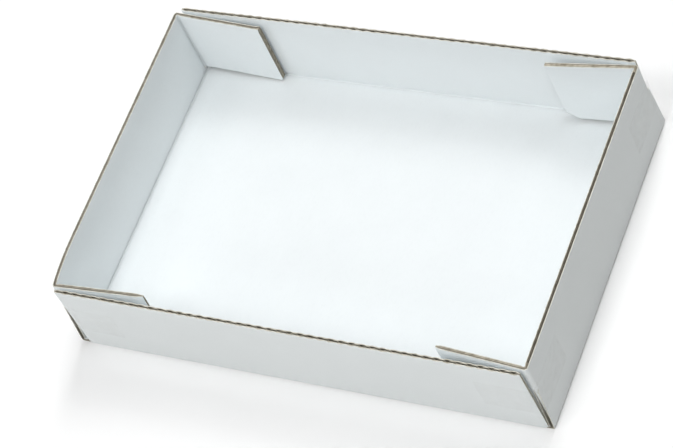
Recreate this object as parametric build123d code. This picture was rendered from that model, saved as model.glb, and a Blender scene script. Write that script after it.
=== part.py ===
from build123d import *
import math
import os

# Outside sizes of the folded tray, in millimetres
tray_length = 305.0
tray_width = 203.0
tray_height = 60.0

# Corrugated board: two flat liners with a waved sheet between them
board = 3.0
liner = 0.4
wave_sheet = 0.4
wave_pitch = 6.4
wave_crest = 0.9
cell_depth = 8.0
groove_depth = 1.6

# Folds and the play that lets one layer lie inside another
fold_radius = 2.0
crease_radius = 0.3
tab_play = 0.8

# Ears low on each end wall, which taper upward and lie over the side walls' ends
ear_play = 1.0
ear_height = 36.0

# End walls: how far each rim leans in over its foot
left_lean = 3.3
right_lean = 0.0

# Tabs at the upright edges of the end walls, folded in beside the side walls
left_tab_reach = 58.8
right_tab_reach = 55.2
tab_foot = 6.0
tab_taper = 2.6
tab_taper_start = 30.0

# Each corner: splay of its tab in degrees, size of the cut at the tab's lower
# corner, and the step from the end wall's outer face back to the side wall's end
corners = {
    "back_left": {"splay": 1.6, "cut": 1.5, "step": 3.9},
    "back_right": {"splay": 5.7, "cut": 6.5, "step": 3.1},
    "front_left": {"splay": 4.4, "cut": 1.5, "step": 5.6},
    "front_right": {"splay": 4.0, "cut": 6.5, "step": 3.4},
}

# Clear tape that holds each outside corner
tape_thickness = 0.1
tape_foot = 18.6
tape_width = 25.2
tape_on_end = 30.0
tape_on_side = 32.0

# Derived sizes
half_length = tray_length / 2
half_width = tray_width / 2
core = board - 2 * liner
cell_height = core - wave_sheet
cell_wide = wave_pitch - wave_crest - wave_sheet
end_wall_half = half_width - board - tab_play - fold_radius
fold_outside = end_wall_half + fold_radius
ear_half = half_width - ear_play
heel = board
panel_half = end_wall_half - heel


def turn_of(lean):
    """Angle in degrees through which a wall that leans by this much was folded."""
    return 90 + math.degrees(math.atan(lean / tray_height))


def wall_run(turn):
    """Length of the straight wall above its fold."""
    angle = math.radians(turn)
    return (tray_height - fold_radius * (1 - math.cos(angle))) / math.sin(angle)


def sheet_line(turn, straight, depth):
    """Line at this depth in the sheet: along its heel, round a fold and along the panel past it."""
    half_turn = math.tan(math.radians(turn) / 2)
    corner = Vector((fold_radius - depth) * half_turn, depth)
    panel = Vector(1, 0).rotate(Axis.Z, turn) * ((fold_radius - depth) * half_turn + straight)
    radius = fold_radius + (crease_radius - fold_radius) * depth / board
    return FilletPolyline((-heel, depth), corner, corner + panel, radius=radius)


def strip(turn, straight, outer_depth=0.0, inner_depth=board):
    """Section of the sheet, or of a layer of it, round a fold that starts at the origin."""
    outside = sheet_line(turn, straight, outer_depth)
    inside = sheet_line(turn, straight, inner_depth)
    start = Line(inside @ 0, outside @ 0)
    end = Line(outside @ 1, inside @ 1)
    return make_face([outside, end, inside, start])


def wave_cells(run):
    """Gaps between the waved sheet and the liners, in a row centred on the origin."""
    cell = Polygon(
        (-cell_wide / 2, 0),
        (cell_wide / 2, 0),
        (wave_crest / 2, cell_height),
        (-wave_crest / 2, cell_height),
        align=None,
    )
    count = int((run - cell_wide) / (wave_pitch / 2)) + 1
    cells = Sketch()
    for index in range(count):
        along = (index - (count - 1) / 2) * wave_pitch / 2
        if index % 2 == 0:
            cells += Pos(along, liner) * cell
        else:
            cells += Pos(along, board - liner) * mirror(cell, about=Plane.XZ)
    return cells


def side_wall(left, right):
    """Back wall with its fold; both ends are cut parallel to the end walls."""
    run = wall_run(90)
    section = Plane(
        origin=(-half_length, half_width - fold_radius, 0), x_dir=(0, 1, 0), z_dir=(1, 0, 0)
    )
    wall = extrude(section * strip(90, run), tray_length)
    left_end = -half_length + left["step"]
    right_end = half_length - right["step"]
    outline = Polygon(
        (left_end, 0),
        (right_end, 0),
        (right_end - right_lean, tray_height),
        (left_end + left_lean, tray_height),
        align=None,
    )
    wall &= extrude(Plane.XZ * outline, 2 * tray_width, both=True)
    rim_left = left_end + left_lean
    rim_right = right_end - right_lean
    rim = Plane(
        origin=((rim_left + rim_right) / 2, half_width, tray_height),
        x_dir=(1, 0, 0),
        z_dir=(0, 0, -1),
    )
    return wall - extrude(rim * wave_cells(rim_right - rim_left - board), cell_depth)


def tab(straight, cut, run):
    """Tab in its own plane: X away from its fold, Y up, outer face at Z = 0."""
    foot = tab_foot - fold_radius
    low = foot + tab_taper + cut
    outline = Polygon(
        (0, foot),
        (heel, foot),
        (tab_taper_start, foot + tab_taper / 2),
        (straight - cut, foot + tab_taper),
        (straight, low),
        (straight, run),
        (0, run),
        align=None,
    )
    flap = extrude(outline, -board)
    high = run - groove_depth
    end = Plane(origin=(straight, (low + high) / 2, 0), x_dir=(0, 1, 0), z_dir=(-1, 0, 0))
    return flap - extrude(end * wave_cells(high - low), cell_depth)


def wall_plane(lean):
    """Outer face of the right end wall: X along +Y, Z up the wall, from above its fold."""
    angle = math.radians(turn_of(lean))
    foot = Vector(
        half_length - fold_radius + fold_radius * math.sin(angle),
        0,
        fold_radius * (1 - math.cos(angle)),
    )
    return Plane(origin=foot, x_dir=(0, 1, 0), z_dir=(math.cos(angle), 0, math.sin(angle)))


def corner_and_tab(lean, tab_reach, corner):
    """Upright fold at the back end of the right end wall, with its tab."""
    run = wall_run(turn_of(lean))
    straight = tab_reach - fold_radius
    turn = 90 + corner["splay"]
    at_fold = Pos(end_wall_half, 0)
    foot = tab_foot - fold_radius
    bend = Pos(0, 0, foot) * extrude(at_fold * strip(turn, heel), run - foot)
    outer_bend = at_fold * JernArc((0, 0), (1, 0), fold_radius, turn)
    along = Vector(1, 0).rotate(Axis.Z, turn)
    face = Plane(origin=outer_bend @ 1, x_dir=along, z_dir=along.rotate(Axis.Z, -90))
    groove = extrude(at_fold * strip(turn, straight, liner, board - liner), groove_depth)
    groove = Pos(0, 0, run - groove_depth) * groove
    flap = face.location * tab(straight, corner["cut"], run)
    return wall_plane(lean).location * (bend + flap - groove)


def end_wall(lean):
    """Right end wall with its fold, between the corner folds, with an ear low at each end."""
    turn = turn_of(lean)
    run = wall_run(turn)
    section = Plane(
        origin=(half_length - fold_radius, ear_half, 0), x_dir=(1, 0, 0), z_dir=(0, -1, 0)
    )
    wall = extrude(section * strip(turn, run), 2 * ear_half)
    back_half = Polygon(
        (0, -tray_height),
        (ear_half, -tray_height),
        (ear_half, 0),
        (fold_outside, ear_height),
        (end_wall_half, ear_height + heel),
        (panel_half, ear_height + heel),
        (panel_half, run),
        (0, run),
        align=None,
    )
    outline = back_half + mirror(back_half, about=Plane.YZ)
    cutter = extrude(Plane.XZ * outline, tray_height, both=True)
    groove = Pos(0, board / 2, run - groove_depth / 2) * Box(2 * panel_half, core, groove_depth)
    return (wall & wall_plane(lean).location * cutter) - wall_plane(lean).location * groove


def corner_tape(lean, step):
    """Tape over the back right corner, taut from the end wall's ear to the side wall's edge."""
    foot = tape_foot - fold_radius
    ear_edge = ear_half - (ear_half - fold_outside) * foot / ear_height
    path = Polyline(
        (end_wall_half - tape_on_end, 0),
        (ear_edge, 0),
        (half_width, step),
        (half_width, step + tape_on_side),
    )
    ribbon = make_face(offset(path, tape_thickness, side=Side.RIGHT))
    return wall_plane(lean).location * Pos(0, 0, foot) * extrude(ribbon, tape_width)


def at_left(shape):
    return mirror(shape, about=Plane.YZ)


def at_front(shape):
    return mirror(shape, about=Plane.XZ)


# One folded sheet: base, four walls and four tabs
base = Pos(0, 0, board / 2) * Box(
    tray_length - 2 * (fold_radius + heel), tray_width - 2 * (fold_radius + heel), board
)
back_wall = side_wall(corners["back_left"], corners["back_right"])
front_wall = at_front(side_wall(corners["front_left"], corners["front_right"]))
tray = base + back_wall + front_wall + end_wall(right_lean) + at_left(end_wall(left_lean))
tray += corner_and_tab(right_lean, right_tab_reach, corners["back_right"])
tray += at_front(corner_and_tab(right_lean, right_tab_reach, corners["front_right"]))
tray += at_left(corner_and_tab(left_lean, left_tab_reach, corners["back_left"]))
tray += at_left(at_front(corner_and_tab(left_lean, left_tab_reach, corners["front_left"])))

# Tape at each outside corner
parts = {
    "tray": tray,
    "tape_back_right": corner_tape(right_lean, corners["back_right"]["step"]),
    "tape_front_right": at_front(corner_tape(right_lean, corners["front_right"]["step"])),
    "tape_back_left": at_left(corner_tape(left_lean, corners["back_left"]["step"])),
    "tape_front_left": at_left(at_front(corner_tape(left_lean, corners["front_left"]["step"]))),
}

os.makedirs("parts", exist_ok=True)
for name, part in parts.items():
    export_step(part, f"parts/{name}.step")
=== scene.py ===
import math

import bpy
import numpy as np
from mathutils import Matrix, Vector, noise


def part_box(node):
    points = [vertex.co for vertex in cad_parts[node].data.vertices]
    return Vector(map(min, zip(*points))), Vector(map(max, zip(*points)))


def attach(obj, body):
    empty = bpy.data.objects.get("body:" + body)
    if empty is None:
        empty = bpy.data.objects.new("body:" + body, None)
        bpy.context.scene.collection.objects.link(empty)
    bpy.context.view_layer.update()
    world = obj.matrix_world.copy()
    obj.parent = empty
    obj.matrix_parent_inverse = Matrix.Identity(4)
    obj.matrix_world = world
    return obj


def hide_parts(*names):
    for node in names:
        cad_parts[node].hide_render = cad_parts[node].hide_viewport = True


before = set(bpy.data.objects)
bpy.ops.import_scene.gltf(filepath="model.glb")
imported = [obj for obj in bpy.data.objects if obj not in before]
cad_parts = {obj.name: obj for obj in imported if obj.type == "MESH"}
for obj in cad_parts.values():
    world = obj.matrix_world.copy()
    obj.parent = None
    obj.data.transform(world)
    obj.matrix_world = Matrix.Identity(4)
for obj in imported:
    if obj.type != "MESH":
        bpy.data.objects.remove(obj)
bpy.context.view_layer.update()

MM = 0.001

WALLS = ("back", "front", "left", "right")
CORNERS = ("back_left", "back_right", "front_left", "front_right")
SIDE = {"left": -1, "right": 1, "front": -1, "back": 1}


def in_mm(names, *values):
    """One size for each name, given in millimetres."""
    return {name: value * MM for name, value in zip(names, values)}


# Outside sizes of the tray, from its solid
TRAY_LOW, TRAY_HIGH = (Vector(corner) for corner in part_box("tray"))
HALF_LENGTH = (TRAY_HIGH.x - TRAY_LOW.x) / 2
HALF_WIDTH = (TRAY_HIGH.y - TRAY_LOW.y) / 2
HEIGHT = TRAY_HIGH.z - TRAY_LOW.z

# Corrugated board: two liners with a waved sheet between them, whose crests are pressed flat
BOARD = 3.0 * MM
LINER = 0.5 * MM
HALF_CORE = BOARD / 2 - LINER
WAVE_SHEET = 0.32 * MM
WAVE_PITCH = 6.4 * MM
WAVE_PRESS = 1.18

# Folds, and where the end walls and their corner folds come to lie
FOLD_RADIUS = 2.0 * MM
CREASE_RADIUS = 0.3 * MM
HEEL = BOARD
TAB_PLAY = 0.8 * MM
END_WALL_HALF = HALF_WIDTH - BOARD - TAB_PLAY - FOLD_RADIUS
PANEL_HALF = END_WALL_HALF - HEEL
FOLD_OUTSIDE = END_WALL_HALF + FOLD_RADIUS
EAR_HALF = HALF_WIDTH - 1.0 * MM
EAR_HEIGHT = 36.0 * MM
EAR_START = END_WALL_HALF + 0.4 * MM

# How far each end wall's rim leans in over its foot
LEAN = in_mm(("left", "right"), 3.3, 0.0)

# Step from the end wall's outer face back to the side wall's end, and each tab's outline
STEP = in_mm(CORNERS, 3.9, 3.1, 5.6, 3.4)
REACH = in_mm(CORNERS, 58.8, 55.2, 58.8, 55.2)
CUT = in_mm(CORNERS, 1.5, 6.5, 1.5, 6.5)
TAB_FOOT = 6.0 * MM - FOLD_RADIUS
TAB_TAPER = 2.6 * MM
TAB_TAPER_START = 30.0 * MM

# How much lower than its plain taper each tab's lower edge lies, near its fold and at its free
# end; below zero it lies higher
DROP_NEAR = in_mm(CORNERS, -1.5, 0.6, 0.0, 0.0)
DROP_FAR = in_mm(CORNERS, 1.5, 2.6, 0.0, 0.0)

# Degrees that each tab's rim is splayed off its side wall, and how many less at its foot
SPLAY = dict(zip(CORNERS, (1.6, 5.7, 4.4, 4.0)))
TWIST = dict(zip(CORNERS, (0.0, 2.0, 0.0, 0.0)))

# At each rim the cut draws both liners in, over PINCH_DEPTH, and spreads the edge of the wave,
# which lies a little below the cut on the end walls
PINCH = in_mm(WALLS + CORNERS, 0.34, 0.36, 0.34, 0.24, 0.36, 0.16, 0.28, 0.30)
PINCH_DEPTH = 3.5 * MM
SPREAD = in_mm(WALLS + CORNERS, 0.20, 0.20, 0.10, 0.0, 0.30, 1.1, 0.15, 0.6)
SPREAD_DEPTH = 0.8 * MM
SINK = in_mm(("left", "right"), 0.2, 1.2)

# The side walls' rims are drawn in wave by wave, unevenly, and their ends are nearly closed
RIM_WAVE = 0.7
RIM_WAVE_MEAN = 0.75
RIM_WAVE_WANDER = 0.6
RIM_WANDER_LENGTH = 11.0 * MM
END_CLOSED = 0.8

# At the tabs' free ends the cut spreads the wave, lifts the outer liner or draws both in
END_SPREAD = in_mm(CORNERS, 1.35, 0.6, 0.1, 0.6)
END_FLARE = in_mm(CORNERS, 0.4, 0.0, 0.0, 0.0)
END_PINCH = in_mm(CORNERS, 0.0, 0.0, 0.85, 0.5)

# Every sheet ends a little below the cut, unevenly
RAG_DEPTH = 1.0 * MM
RAG_LENGTH = 2.2 * MM
RAG_HEIGHT = 0.14 * MM
RAG_DROP = 0.15 * MM

# Folds are dented along their inner crease, and the left rim bows in at its front corner, by
# less toward the foot
CREASE_DENT = 0.5 * MM
CREASE_WIDTH = 1.5 * MM
BOW = 2.6 * MM
BOW_LENGTH = 32.0 * MM
BOW_RISE = 1.3

# How far down from a wall's rim the waved sheet is made
SIDE_WAVE_SHOWN = 14.0 * MM
END_WAVE_SHOWN = 10.0 * MM

# How far apart the stations lie on the plain part of each panel
BASE_STEP = 8.0 * MM
END_WALL_STEP = 2.5 * MM
FOOT_STEP = 4.0 * MM
TAB_STEP = 3.0 * MM
TAB_CUT_STEP = 1.0 * MM
TAPE_STEP = 3.0 * MM

# Clear tape, with the teeth that the cutter leaves at its ends
TAPE_FOOT = 18.6 * MM
TAPE_WIDTH = 25.2 * MM
TAPE_ON_END = 30.0 * MM
TAPE_ON_SIDE = 32.0 * MM
TAPE_THICKNESS = 0.09 * MM
TOOTH_PITCH = 1.6 * MM
TOOTH_HEIGHT = 0.5 * MM


# Materials
def grey(value):
    return (value, value, value)


class Surface:
    """A material in the making: each method adds a node and gives back its output."""

    def __init__(self, name, roughness, specular):
        self.material = bpy.data.materials.new(name)
        self.material.use_nodes = True
        self.nodes = self.material.node_tree.nodes
        self.links = self.material.node_tree.links
        self.shader = self.nodes["Principled BSDF"]
        self.shader.inputs["Roughness"].default_value = roughness
        self.shader.inputs["Specular IOR Level"].default_value = specular

    def node(self, kind, inputs, output=0, **settings):
        node = self.nodes.new(kind)
        for key, value in settings.items():
            setattr(node, key, value)
        for key, value in inputs.items():
            if isinstance(value, bpy.types.NodeSocket):
                self.links.new(value, node.inputs[key])
            else:
                node.inputs[key].default_value = value
        return node.outputs[output]

    def noise(self, scale, detail, roughness=0.5, stretch=None):
        """Noise over the piece's own coordinates, which stretch scales first."""
        place = self.node("ShaderNodeTexCoord", {}, "Object")
        if stretch is not None:
            place = self.node("ShaderNodeMapping", {"Vector": place, "Scale": stretch})
        inputs = {"Vector": place, "Scale": scale, "Detail": detail, "Roughness": roughness}
        return self.node("ShaderNodeTexNoise", inputs, "Fac")

    def attribute(self, name):
        return self.node("ShaderNodeAttribute", {}, "Fac", attribute_name=name)

    def ramp(self, share, start, end):
        """Colour that goes from one (position, colour) to the other."""
        node = self.nodes.new("ShaderNodeValToRGB")
        for element, (position, color) in zip(node.color_ramp.elements, (start, end)):
            element.position = position
            element.color = (*color, 1)
        self.links.new(share, node.inputs["Fac"])
        return node.outputs["Color"]

    def multiply(self, first, second):
        inputs = {"Factor": 1.0, 6: first, 7: second}
        return self.node("ShaderNodeMix", inputs, 2, data_type="RGBA", blend_type="MULTIPLY")

    def bump(self, height, strength, distance, **under):
        inputs = {"Strength": strength, "Distance": distance, "Height": height, **under}
        return self.node("ShaderNodeBump", inputs)

    def finish(self, **inputs):
        """Link the outputs to the shader's inputs of these names."""
        for name, output in inputs.items():
            self.links.new(output, self.shader.inputs[name.replace("_", " ")])
        return self.material


def paper(name, light, dark, ridge_height, fleck):
    """Paper liner: cloudy fibre colour, painted shade in the inner creases, fine bump and faint
    ridges of the wave.
    """
    surface = Surface(name, roughness=0.62, specular=0.28)
    clouds = surface.noise(scale=38.0, detail=5.0, roughness=0.6)
    fibres = surface.noise(scale=900.0, detail=4.0, roughness=0.65, stretch=(1.0, 0.35, 1.0))
    tone = surface.ramp(clouds, (0.32, dark), (0.68, light))
    grain = surface.ramp(fibres, (0.28, grey(1 - fleck)), (0.5, grey(1.0)))
    # Painted shade: the colour is darkened to 0.87 near the inner creases, standing in for the
    # shade in the fold
    painted_crease_shade = surface.ramp(surface.attribute("crease"), (0.0, grey(1.0)), (1.0, grey(0.87)))
    color = surface.multiply(surface.multiply(tone, grain), painted_crease_shade)

    waves = {0: surface.attribute("flute"), 1: 2 * math.pi}
    phase = surface.node("ShaderNodeMath", waves, operation="MULTIPLY")
    ridges = surface.node("ShaderNodeMath", {0: phase}, operation="COSINE")
    fine = surface.bump(fibres, strength=0.35, distance=0.05 * MM)
    broad = surface.bump(ridges, strength=1.0, distance=ridge_height, Normal=fine)
    return surface.finish(Base_Color=color, Normal=broad)


def cut_edge(name, light, dark):
    """Cut paper edge: fibrous, darker where the cut is ragged."""
    surface = Surface(name, roughness=0.9, specular=0.1)
    ragged = surface.noise(scale=240.0, detail=6.0, roughness=0.75)
    tone = surface.ramp(ragged, (0.38, dark), (0.58, light))
    return surface.finish(Base_Color=tone, Normal=surface.bump(ragged, 0.6, 0.12 * MM))


def clear_film(name, color):
    """Clear tape: a thin glossy film with long faint stretch lines and small air bubbles."""
    surface = Surface(name, roughness=0.12, specular=0.6)
    surface.shader.inputs["Base Color"].default_value = color
    bubbles = surface.noise(scale=260.0, detail=3.0)
    stretched = surface.noise(scale=120.0, detail=2.0, stretch=(0.05, 0.05, 6.0))
    opacity = surface.ramp(bubbles, (0.40, grey(0.02)), (0.75, grey(0.05)))
    return surface.finish(Alpha=opacity, Normal=surface.bump(stretched, 0.5, 0.05 * MM))


# White outer liners, the brown inside of the board, and the cuts through liners, wave and tabs
BOARD_MATERIALS = (
    paper("white_liner", (0.826, 0.862, 0.872), (0.812, 0.848, 0.858), 0.008 * MM, fleck=0.02),
    paper("kraft_back", (0.34, 0.32, 0.27), (0.26, 0.24, 0.20), ridge_height=0.0, fleck=0.12),
    cut_edge("liner_edge", light=(0.74, 0.725, 0.65), dark=(0.50, 0.48, 0.40)),
    cut_edge("wave_edge", light=(0.52, 0.47, 0.38), dark=(0.24, 0.215, 0.16)),
    cut_edge("tab_end", light=(0.37, 0.335, 0.265), dark=(0.21, 0.185, 0.14)),
)
FACE, KRAFT, LINER_EDGE, WAVE_EDGE, TAB_END = range(5)
TAPE_MATERIALS = (clear_film("clear_tape", color=(0.86, 0.86, 0.84, 1)),)


# Meshes, made as grids of points
ALL = slice(None)
FIRST_ROW, LAST_ROW, FIRST_COLUMN, LAST_COLUMN = (0, ALL), (-1, ALL), (ALL, 0), (ALL, -1)
GRID_EDGES = (FIRST_ROW, LAST_ROW, FIRST_COLUMN, LAST_COLUMN)


def grid(across, along):
    """Matching arrays of the two coordinates, with rows along the second."""
    return np.meshgrid(np.asarray(across), np.asarray(along))


def steps(start, end, size):
    """Even stations from start to end, about this far apart."""
    return np.linspace(start, end, max(2, int(abs(end - start) / size) + 1))


def joined(*runs):
    """One run of stations from several, each starting where the last one ends."""
    return np.concatenate([runs[0]] + [run[1:] for run in runs[1:]])


def smooth(share):
    """Even rise from 0 to 1 with a soft start and end."""
    share = np.clip(share, 0, 1)
    return share * share * (3 - 2 * share)


def wander(along, length, height, seed):
    """Smooth uneven offsets along a cut, the same on every run."""
    offsets = [noise.noise(Vector((place / length, 0, seed))) for place in along.ravel()]
    return np.array(offsets).reshape(along.shape) * height


def crease_shade_weight(points):
    """How close each point lies to an inner crease of an end wall or corner fold, from 0 to 1,
    which weights the painted shade in the creases.
    """
    x, y, z = np.abs(points[:, 0]), np.abs(points[:, 1]), points[:, 2]
    lean = np.where(points[:, 0] < 0, LEAN["left"], LEAN["right"])
    wall = HALF_LENGTH - BOARD - lean * z / HEIGHT
    foot = np.hypot(wall - x, z - BOARD)
    upright = np.hypot(wall - x, y - FOLD_OUTSIDE + BOARD)
    return np.exp(-((np.minimum(foot, upright) / CREASE_WIDTH) ** 2))


def lay_piece(name, sides, materials):
    """One piece from its smooth sides; each is (grid of points, material slot, flute)."""
    points, faces, indices, flutes = [], [], [], []
    for side, slot, flute in sides:
        rows, columns = side.shape[:2]
        start = len(points)
        points.extend(map(tuple, side.reshape(-1, 3)))
        flutes.extend(np.broadcast_to(flute, (rows, columns)).ravel())
        for row in range(rows - 1):
            for column in range(columns - 1):
                first = start + row * columns + column
                faces.append((first, first + 1, first + columns + 1, first + columns))
                indices.append(slot)
    mesh = bpy.data.meshes.new(name)
    mesh.from_pydata(points, [], faces)
    # The crease attribute weights the painted shade along the inner creases
    for attribute, values in (("flute", flutes), ("crease", crease_shade_weight(np.array(points)))):
        data = mesh.attributes.new(attribute, "FLOAT", "POINT").data
        data.foreach_set("value", np.array(values, dtype=np.float32))
    mesh.polygons.foreach_set("material_index", indices)
    mesh.polygons.foreach_set("use_smooth", [True] * len(faces))
    for material in materials:
        mesh.materials.append(material)
    mesh.update()
    piece = bpy.data.objects.new(name, mesh)
    bpy.context.collection.objects.link(piece)
    return piece


def slab_sides(place, a, s, low, high, slots, flute):
    """Sides of a sheet between depths low and high over a grid of (a, s).

    slots are the materials of its outer face, its inner face, its cuts and the cut at the last a.
    """
    outer_slot, inner_slot, cut_slot, end_slot = slots
    outer, inner = place(a, s, low), place(a, s, high)
    sides = [(outer[::-1], outer_slot, flute[::-1]), (inner, inner_slot, flute)]
    for edge in GRID_EDGES:
        rim = np.stack([outer[edge], inner[edge]])
        if edge in (LAST_ROW, FIRST_COLUMN):
            rim = rim[::-1]
        sides.append((rim, end_slot if edge == LAST_COLUMN else cut_slot, 0.0))
    return sides


def wave(phase):
    """Height of the waved sheet, from -1 to 1."""
    return np.clip(WAVE_PRESS * np.sin(phase), -1, 1)


def board_sides(place, a, s, flute, waved=None, rag=None, seed=0.0, end=LINER_EDGE):
    """Outer liner, inner liner and, where it shows, the waved sheet between them.

    waved is (a, s, flute, thickness) of the waved sheet, rag the unevenness of the cut at the
    rim, and end the material of the cut at the last a.
    """
    def cut(a, s, seed):
        return s if rag is None else s + rag(a, s, seed)

    outside = 0 * a
    sides = slab_sides(
        place, a, cut(a, s, seed), outside, outside + LINER, (FACE, KRAFT, LINER_EDGE, end), flute
    )
    sides += slab_sides(
        place, a, cut(a, s, seed + 3.7), outside + BOARD - LINER, outside + BOARD,
        (KRAFT, FACE, LINER_EDGE, end), flute,
    )
    if waved is not None:
        a, s, flute, thick = waved
        middle = BOARD / 2 + (HALF_CORE - thick / 2) * wave(2 * math.pi * flute)
        sides += slab_sides(
            place, a, cut(a, s, seed + 7.1), middle - thick / 2, middle + thick / 2,
            (KRAFT, KRAFT, WAVE_EDGE, max(end, WAVE_EDGE)), flute,
        )
    return sides


# Places of the sheet's points: a runs along the wall, s up it and d into the board
def turn_of(lean):
    """Angle through which a wall that leans by this much was folded."""
    return math.pi / 2 + math.atan(lean / HEIGHT)


def wall_run(turn):
    """Length of the straight wall above its fold."""
    return (HEIGHT - FOLD_RADIUS * (1 - math.cos(turn))) / math.sin(turn)


def bend(s, d, turn):
    """Section of a folded sheet: (out, up) from the fold's start at s along it and d into it.

    The fold tightens from its round outside to its sharp crease, and takes up a heel of flat
    sheet on both sides.
    """
    beyond = np.maximum(np.maximum(-s, s - FOLD_RADIUS * turn), 0)
    d = d - CREASE_DENT * np.clip(2 * d / BOARD - 1, 0, 1) * np.exp(-((beyond / CREASE_WIDTH) ** 2))
    radius = FOLD_RADIUS + (CREASE_RADIUS - FOLD_RADIUS) * d / BOARD
    slack = (d + radius - FOLD_RADIUS) * math.tan(turn / 2)
    angle = np.clip(s / FOLD_RADIUS, 0, turn)
    before = np.minimum(s, 0)
    past = np.maximum(s - FOLD_RADIUS * turn, 0)
    progress = past - slack * np.minimum(past / HEEL, 1)
    out = before - slack * np.clip(1 + before / HEEL, 0, 1)
    out = out + radius * np.sin(angle) + progress * math.cos(turn)
    up = d + radius * (1 - np.cos(angle)) + progress * math.sin(turn)
    return out, up


def base_place(x, y, d):
    return np.stack([x, y, d + 0 * x], axis=-1)


def side_place(sign):
    """Side wall: a runs along X, s from the base's edge up to the rim."""
    def place(a, s, d):
        out, up = bend(s, d, math.pi / 2)
        return np.stack([a, sign * (HALF_WIDTH - FOLD_RADIUS + out), up], axis=-1)
    return place


def bow(sign, y, rise):
    """How far the left rim bows in near its front corner, fading out toward the foot."""
    if sign == SIDE["right"]:
        return 0 * y
    near = np.clip((-y - END_WALL_HALF + BOW_LENGTH) / BOW_LENGTH, 0, 1)
    return BOW * near ** 2 * np.clip(rise / HEIGHT, 0, 1) ** BOW_RISE


def end_place(sign, lean):
    """End wall: a runs along Y, s from the base's edge up to the rim."""
    turn = turn_of(lean)

    def place(a, s, d):
        out, up = bend(s, d, turn)
        out = out - bow(sign, a, s - FOLD_RADIUS * turn)
        return np.stack([sign * (HALF_LENGTH - FOLD_RADIUS + out), a, up], axis=-1)
    return place


def above_fold(sign, lean, y, inward, rise):
    """Point inward of an end wall's outer face, at a distance up it from above its fold."""
    turn = turn_of(lean)
    out = FOLD_RADIUS * math.sin(turn) + rise * math.cos(turn) - inward * math.sin(turn)
    up = FOLD_RADIUS * (1 - math.cos(turn)) + rise * math.sin(turn) + inward * math.cos(turn)
    return np.stack([sign * (HALF_LENGTH - FOLD_RADIUS + out), y, up], axis=-1)


def tab_place(end, depth, top):
    """Corner fold and tab: a runs along the end wall and on round the fold, s up the wall."""
    sign, back, lean = SIDE[end], SIDE[depth], LEAN[end]
    corner = f"{depth}_{end}"
    turn = math.pi / 2 + math.radians(SPLAY[corner])
    twist = math.tan(math.radians(TWIST[corner]))
    fold_end = END_WALL_HALF + FOLD_RADIUS * turn

    def place(a, s, d):
        along, inward = bend(a - END_WALL_HALF, d, turn)
        along = along + twist * np.maximum(a - fold_end, 0) * (1 - s / top)
        y = back * (END_WALL_HALF + along)
        shift = bow(sign, back * np.minimum(a, END_WALL_HALF), s)
        return above_fold(sign, lean, y, inward + shift, s)
    return place


def pinched(place, top, amount, ends=None, seed=0.0):
    """The same sheet with its liners drawn together at the cut rim at s = top.

    A side wall also gives its ends, which the cut closes, and its rim is drawn in wave by wave.
    """
    def squeezed(a, s, d):
        close = amount * smooth(1 - (top - s) / PINCH_DEPTH)
        if ends is not None:
            uneven = RIM_WAVE_MEAN + wander(a, RIM_WANDER_LENGTH, RIM_WAVE_WANDER, seed)
            close = close * (1 + RIM_WAVE * uneven * np.sin(2 * math.pi * a / WAVE_PITCH))
            low, high = ends(s)
            to_end = np.minimum(a - low, high - a)
            at_end = END_CLOSED * HALF_CORE * smooth(1 - to_end / PINCH_DEPTH)
            close = np.maximum(close, at_end)
        return place(a, s, d - close * np.clip((d - BOARD / 2) / HALF_CORE, -1, 1))
    return squeezed


def cut_end(place, end, flare, pinch):
    """The same tab, its outer liner lifted or both drawn together at its free end at a = end."""
    def shaped(a, s, d):
        near = smooth(1 - (end - a) / PINCH_DEPTH)
        from_middle = (d - BOARD / 2) / HALF_CORE
        shift = flare * np.clip(-from_middle, 0, 1) + pinch * np.clip(from_middle, -1, 1)
        return place(a, s, d - near * shift)
    return shaped


def rim_rag(top):
    """Unevenness of a cut rim at s = top."""
    def rag(a, s, seed):
        near = np.clip(1 - (top - s) / RAG_DEPTH, 0, 1)
        return near * (wander(a, RAG_LENGTH, RAG_HEIGHT, seed) - RAG_DROP)
    return rag


def rim_spread(panel, s, top):
    """Thickness of the waved sheet, which the cut spreads at the rim at s = top."""
    return WAVE_SHEET + SPREAD[panel] * smooth(1 - (top - s) / SPREAD_DEPTH)


def ear_edge(rise):
    """Half width of an end wall with its ears, at a distance up it."""
    return EAR_HALF - (EAR_HALF - FOLD_OUTSIDE) * np.clip(rise / EAR_HEIGHT, 0, 1)


# Panels of the folded sheet
def rim_steps(low, top):
    """Stations up a wall to its rim: wide on the wall, close where the cut pinches it."""
    return joined(
        np.linspace(low, top - PINCH_DEPTH, 14),
        np.linspace(top - PINCH_DEPTH, top - RAG_DEPTH, 7),
        np.linspace(top - RAG_DEPTH, top, 5),
    )


def fold_steps(turn):
    """Stations through a fold, from its heel on one side to its heel on the other."""
    arc = FOLD_RADIUS * turn
    heel = np.linspace(0, HEEL, 6)
    return joined(-heel[::-1], np.linspace(0, arc, 13), arc + heel)


def base_sides():
    half_length = HALF_LENGTH - FOLD_RADIUS - HEEL
    half_width = HALF_WIDTH - FOLD_RADIUS - HEEL
    x, y = grid(
        steps(-half_length, half_length, BASE_STEP), steps(-half_width, half_width, BASE_STEP)
    )
    return board_sides(base_place, x, y, x / WAVE_PITCH)


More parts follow.
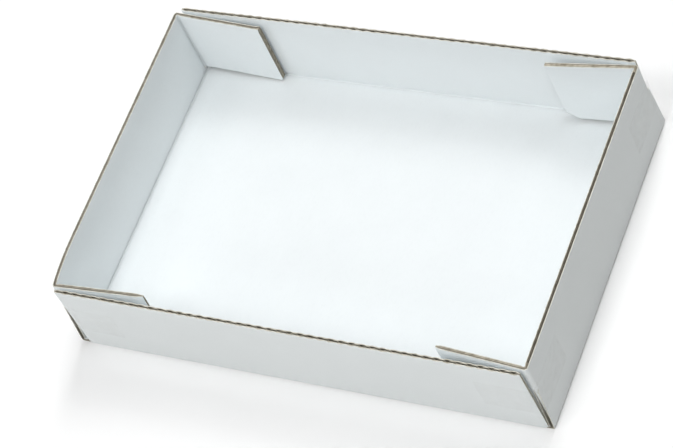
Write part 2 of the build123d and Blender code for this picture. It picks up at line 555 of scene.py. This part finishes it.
def side_sides(where):
    """Side wall with its fold, its ends cut parallel to the end walls."""
    sign = SIDE[where]
    arc = FOLD_RADIUS * math.pi / 2
    top = arc + wall_run(math.pi / 2)
    left_end = -HALF_LENGTH + STEP[f"{where}_left"]
    right_end = HALF_LENGTH - STEP[f"{where}_right"]
    heel_end = HALF_LENGTH - FOLD_RADIUS - HEEL

    def ends(s):
        """Where the wall ends at height s."""
        share = np.clip(s - arc, 0, None) / (top - arc)
        low, high = left_end + share * LEAN["left"], right_end - share * LEAN["right"]
        low = np.where(s > 0, low, np.maximum(low, -heel_end))
        return low, np.where(s > 0, high, np.minimum(high, heel_end))

    def between(t, s):
        """Place along the wall at height s of station t, which runs from 0 to 1."""
        low, high = ends(s)
        return low + (high - low) * t

    length = right_end - left_end
    close = np.linspace(0, PINCH_DEPTH, 5) / length
    t, s = grid(
        joined(close, steps(close[-1], 1 - close[-1], WAVE_PITCH / 4 / length), 1 - close[::-1]),
        joined(fold_steps(math.pi / 2), rim_steps(arc + HEEL, top)),
    )
    a = between(t, s)
    wave_t, wave_s = grid(
        steps(0, 1, WAVE_PITCH / 14 / length),
        joined(
            np.array([top - SIDE_WAVE_SHOWN, top - PINCH_DEPTH]),
            np.linspace(top - PINCH_DEPTH, top - SPREAD_DEPTH, 6),
            np.linspace(top - SPREAD_DEPTH, top, 4),
        ),
    )
    wave_a = between(wave_t, wave_s)
    waved = (wave_a, wave_s, wave_a / WAVE_PITCH, rim_spread(where, wave_s, top))
    place = pinched(side_place(sign), top, PINCH[where], ends, seed=13.0 + sign)
    return board_sides(place, a, s, a / WAVE_PITCH, waved, rim_rag(top), seed=11.0 + sign)


def end_sides(where):
    """End wall above the tabs' feet, between the corner folds."""
    sign, lean = SIDE[where], LEAN[where]
    turn = turn_of(lean)
    arc = FOLD_RADIUS * turn
    top = arc + wall_run(turn)
    across = steps(-PANEL_HALF, PANEL_HALF, END_WALL_STEP)
    a, s = grid(across, rim_steps(arc + TAB_FOOT, top))
    below = joined(
        np.linspace(END_WAVE_SHOWN, SPREAD_DEPTH, 22), np.linspace(SPREAD_DEPTH, 0, 5)
    )
    wave_a, wave_s = grid(across, top - SINK[where] - below)
    waved = (wave_a, wave_s, wave_s / WAVE_PITCH, rim_spread(where, wave_s, top))
    place = pinched(end_place(sign, lean), top, PINCH[where])
    return board_sides(place, a, s, s / WAVE_PITCH, waved, rim_rag(top), seed=21.0 + sign)


def foot_sides(where):
    """Fold of an end wall, up to the feet of its tabs, over the full width of its ears."""
    turn = turn_of(LEAN[where])
    arc = FOLD_RADIUS * turn
    up = joined(fold_steps(turn), np.array([arc + HEEL, arc + TAB_FOOT]))
    t, s = grid(steps(-1, 1, FOOT_STEP / EAR_HALF), up)
    place = end_place(SIDE[where], LEAN[where])
    return board_sides(place, ear_edge(s - arc) * t, s, s / WAVE_PITCH)


def ear_sides(end, depth):
    """Upper part of an ear: the strip of board beside the corner fold, tapering to nothing."""
    arc = FOLD_RADIUS * turn_of(LEAN[end])
    t, s = grid(np.linspace(0, 1, 4), arc + np.linspace(TAB_FOOT, EAR_HEIGHT, 12))
    a = EAR_START + (ear_edge(s - arc) - EAR_START) * t
    return board_sides(end_place(SIDE[end], LEAN[end]), SIDE[depth] * a, s, s / WAVE_PITCH)


def tab_sides(end, depth):
    """Corner fold and tab, cut to its outline below."""
    corner = f"{depth}_{end}"
    cut = CUT[corner]
    turn = math.pi / 2 + math.radians(SPLAY[corner])
    top = wall_run(turn_of(LEAN[end]))
    fold_end = END_WALL_HALF + FOLD_RADIUS * turn
    straight = REACH[corner] - FOLD_RADIUS
    a = joined(
        END_WALL_HALF + fold_steps(turn),
        fold_end + steps(HEEL, TAB_TAPER_START, TAB_STEP),
        fold_end + steps(TAB_TAPER_START, straight - cut, TAB_STEP),
        fold_end + steps(straight - cut, straight, TAB_CUT_STEP),
    )
    near, far = DROP_NEAR[corner], DROP_FAR[corner]
    low = TAB_FOOT + np.interp(
        a - fold_end,
        (0, 3 * HEEL, TAB_TAPER_START, straight - cut, straight),
        (0, -near, TAB_TAPER / 2 - (near + far) / 2, TAB_TAPER - far, TAB_TAPER - far + cut),
    )
    plain = 0.85
    a_grid, share = grid(a, joined(np.linspace(0, plain, 10), rim_steps(plain * top, top) / top))
    wave_a, wave_share = grid(a, np.linspace(0, 1, 170))
    wave_s = low + (top - low) * wave_share
    at_end = END_SPREAD[corner] * smooth(1 - (a[-1] - wave_a) / (2 * SPREAD_DEPTH))
    thick = np.maximum(rim_spread(corner, wave_s, top), WAVE_SHEET + at_end)
    place = pinched(tab_place(end, depth, top), top, PINCH[corner])
    place = cut_end(place, a[-1], END_FLARE[corner], END_PINCH[corner])
    s = low + (top - low) * share
    return board_sides(
        place, a_grid, s, s / WAVE_PITCH, (wave_a, wave_s, wave_s / WAVE_PITCH, thick),
        rim_rag(top), seed=31.0 + SIDE[end] + 2 * SIDE[depth], end=TAB_END,
    )


panels = {"base": base_sides()}
for wall in ("back", "front"):
    panels[f"side_wall_{wall}"] = side_sides(wall)
for wall in ("left", "right"):
    panels[f"end_wall_{wall}"] = end_sides(wall)
    panels[f"end_foot_{wall}"] = foot_sides(wall)
    for depth in ("back", "front"):
        panels[f"tab_{depth}_{wall}"] = tab_sides(wall, depth)
        panels[f"ear_{depth}_{wall}"] = ear_sides(wall, depth)
for name, sides in panels.items():
    piece = lay_piece(f"board_{name}", sides, BOARD_MATERIALS)
    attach(piece, "root")
    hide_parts("tray")


# Tape
def tape_line(step, ear, lift):
    """Places (along, inward) of the tape's line round a corner, lifted off the board.

    It runs along the end wall to its ear's edge, over the step and along the side wall.
    """
    slope = math.atan2(step, HALF_WIDTH - ear)
    points = []
    for before_ear in steps(TAPE_ON_END + ear - END_WALL_HALF, 0, TAPE_STEP):
        points.append((ear - before_ear, -lift))
    for angle in np.linspace(0, slope, 5)[1:]:
        points.append((ear + lift * math.sin(angle), -lift * math.cos(angle)))
    for angle in np.linspace(slope, math.pi / 2, 6):
        points.append((HALF_WIDTH + lift * math.sin(angle), step - lift * math.cos(angle)))
    for run in steps(0, TAPE_ON_SIDE, TAPE_STEP)[1:]:
        points.append((HALF_WIDTH + lift, step + run))
    return np.array(points)


def tape_sides(end, depth):
    """Both faces of the film and its four cuts."""
    sign, back, lean = SIDE[end], SIDE[depth], LEAN[end]
    foot = TAPE_FOOT - FOLD_RADIUS
    up = np.linspace(foot, foot + TAPE_WIDTH, 40)
    ear = float(ear_edge(foot))
    faces = []
    for lift in (0.1 * TAPE_THICKNESS, TAPE_THICKNESS):
        line = tape_line(STEP[f"{depth}_{end}"], ear, lift)
        along, rise = grid(line[:, 0], up)
        inward, rise = grid(line[:, 1], up)
        tooth = TOOTH_HEIGHT * (np.abs((rise / TOOTH_PITCH) % 1 - 0.5) - 0.25)
        along[:, 0] += tooth[:, 0]
        inward[:, -1] += tooth[:, -1]
        on_end = np.clip((HALF_WIDTH - along) / (HALF_WIDTH - ear), 0, 1)
        inward += on_end * bow(sign, back * np.minimum(along, END_WALL_HALF), rise)
        faces.append(above_fold(sign, lean, back * along, inward, rise))
    inner, outer = faces
    cuts = [(np.stack([inner[edge], outer[edge]]), 0, 0.0) for edge in GRID_EDGES]
    return [(outer, 0, 0.0), (inner[::-1], 0, 0.0)] + cuts


for end in ("left", "right"):
    for depth in ("back", "front"):
        piece = lay_piece(f"film_{depth}_{end}", tape_sides(end, depth), TAPE_MATERIALS)
        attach(piece, "root")
        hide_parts(f"tape_{depth}_{end}")


# Floor, light and camera
def background_rays(nodes, links):
    """1 for the rays that show the background: the camera's, and those of gloss and glass."""
    path = nodes.new("ShaderNodeLightPath")
    either = path.outputs["Is Camera Ray"]
    for kind in ("Is Glossy Ray", "Is Transmission Ray"):
        largest = nodes.new("ShaderNodeMath")
        largest.operation = "MAXIMUM"
        links.new(either, largest.inputs[0])
        links.new(path.outputs[kind], largest.inputs[1])
        either = largest.outputs[0]
    return either


def split_rays(tree, lighting, shown, output):
    """Give one shader to the rays that light the tray, and another to those of the background."""
    choose = tree.nodes.new("ShaderNodeMixShader")
    tree.links.new(background_rays(tree.nodes, tree.links), choose.inputs["Fac"])
    tree.links.new(lighting.outputs[0], choose.inputs[1])
    tree.links.new(shown.outputs[0], choose.inputs[2])
    tree.links.new(choose.outputs[0], tree.nodes[output].inputs["Surface"])


def studio_floor():
    """Matte floor, white to the camera and grey in the light that it gives back to the tray."""
    surface = Surface("studio_floor", roughness=1.0, specular=0.0)
    surface.shader.inputs["Base Color"].default_value = (0.72, 0.72, 0.70, 1)
    pale = surface.nodes.new("ShaderNodeBsdfDiffuse")
    pale.inputs["Color"].default_value = (0.97, 0.97, 0.97, 1)
    tree = surface.material.node_tree
    split_rays(tree, surface.shader, pale, "Material Output")
    return surface.material


FLOOR_SIZE = 30
FLOOR_DROP = 0.2 * MM
bpy.ops.mesh.primitive_plane_add(size=FLOOR_SIZE, location=(0, 0, -FLOOR_DROP))
floor = bpy.context.object
floor.name = "studio_floor"
floor.data.materials.append(studio_floor())

# Round soft lamps on a dome over the tray: elevation, azimuth from +X toward +Y, and watts
LAMP_DISTANCE = 3.0
LAMP_SIZE = 1.0
LAMPS = {
    "top": (80, 0, 13),
    "back_high": (54, 90, 22.75),
    "back_middle": (38, 90, 10.5),
    "back_low": (24, 90, 8.5),
    "back_right": (60, 50, 9.25),
    "back_left": (60, 130, 6.5),
    "front_high": (66, 270, 19.5),
    "front_middle": (32, 270, 10.25),
    "front_low": (15, 270, 6.5),
    "left_high": (50, 225, 10.25),
    "left_low": (25, 225, 7.5),
    "right_low": (30, 0, 5.25),
    "front_right": (45, 315, 8.25),
}
for name, (elevation, azimuth, watts) in LAMPS.items():
    lamp = bpy.data.lights.new(f"light_{name}", "AREA")
    lamp.shape = "DISK"
    lamp.size = LAMP_SIZE
    lamp.energy = watts
    up, turn = math.radians(elevation), math.radians(azimuth)
    toward = Vector((math.cos(up) * math.cos(turn), math.cos(up) * math.sin(turn), math.sin(up)))
    holder = bpy.data.objects.new(f"light_{name}", lamp)
    holder.location = toward * LAMP_DISTANCE
    holder.rotation_euler = (-holder.location).to_track_quat("-Z", "Y").to_euler()
    bpy.context.collection.objects.link(holder)

# The world is only the white background, and lights the tray by nothing but its gloss
world = bpy.data.worlds.new("studio")
world.use_nodes = True
bpy.context.scene.world = world
dark = world.node_tree.nodes["Background"]
white = world.node_tree.nodes.new("ShaderNodeBackground")
for background, strength in ((dark, 0.0), (white, 1.0)):
    background.inputs["Color"].default_value = (1, 1, 1, 1)
    background.inputs["Strength"].default_value = strength
split_rays(world.node_tree, dark, white, "World Output")

# Camera, as fitted to the rims; its place is in lengths of the tray and its turn in degrees
CAMERA_PLACE = (2.187, -2.038, 3.865)
CAMERA_TURN = (33.749, 19.229, 21.610)
camera_data = bpy.data.cameras.new("camera")
camera_data.sensor_width = 36.0
camera_data.lens = 137.18
camera = bpy.data.objects.new("camera", camera_data)
camera.location = Vector(CAMERA_PLACE) * 2 * HALF_LENGTH
camera.rotation_euler = [math.radians(angle) for angle in CAMERA_TURN]
bpy.context.collection.objects.link(camera)
bpy.context.scene.camera = camera
bpy.context.scene.view_settings.view_transform = "Standard"
